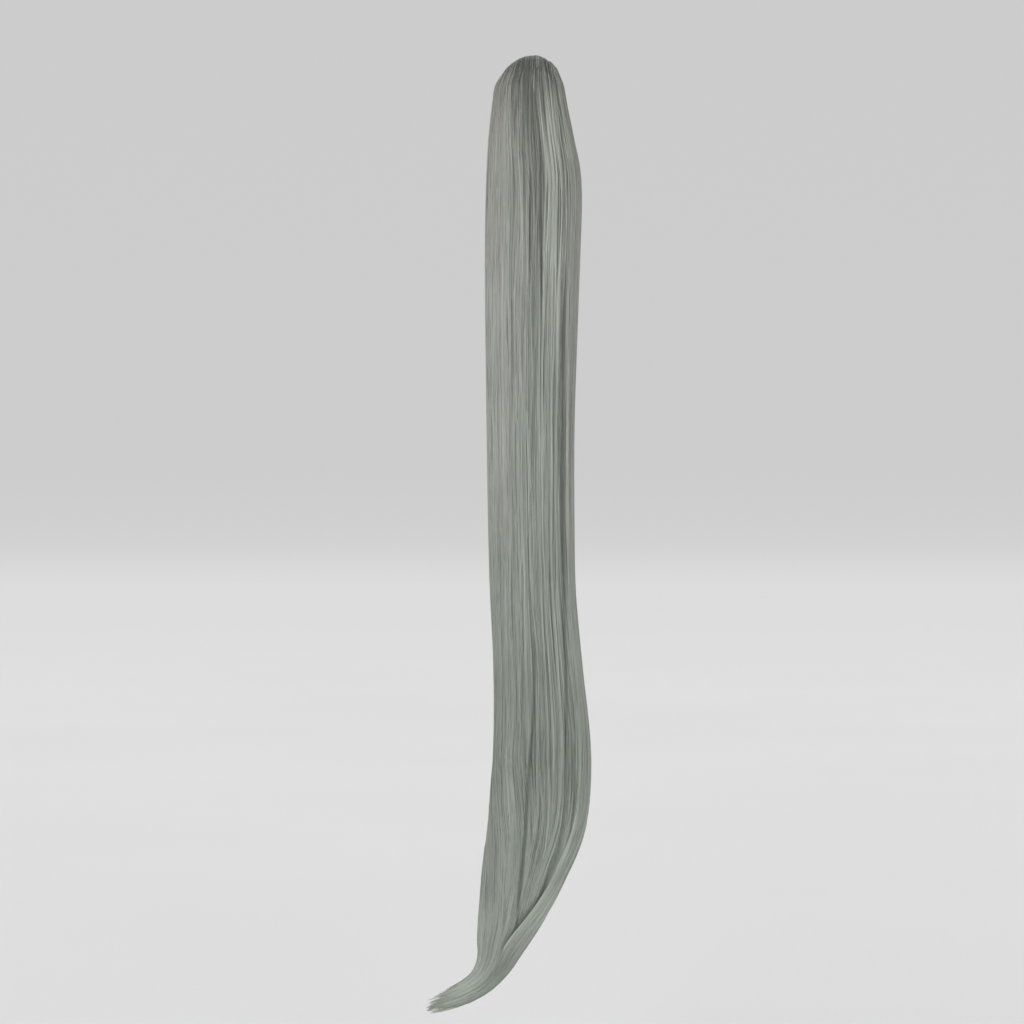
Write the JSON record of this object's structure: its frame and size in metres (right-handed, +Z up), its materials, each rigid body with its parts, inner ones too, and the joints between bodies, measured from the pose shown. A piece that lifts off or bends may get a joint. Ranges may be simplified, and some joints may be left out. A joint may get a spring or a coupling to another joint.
{
  "type": "clip-on ponytail",
  "caption": "Long straight fall of hair that rises from a claw clip, arches over and hangs down the back, its end swept to one side in a tapered flick.",
  "frame": {"origin": "middle of the clip's mouth, where it closes on the wearer's own hair at the crown", "axes": "+Z up along the hanging fall, -Y out of the fall's outer face, away from the wearer, +X to the right seen from there"},
  "size_m": [0.1966, 0.1143, 1.1487],
  "materials": {
    "hair": "straight fine fibres, silver grey, soft satin sheen along the strands",
    "clip": "moulded, matte"
  },
  "bodies": {
    "root": {"hair": "hair", "claw_clip": "clip"}
  },
  "joints": []
}
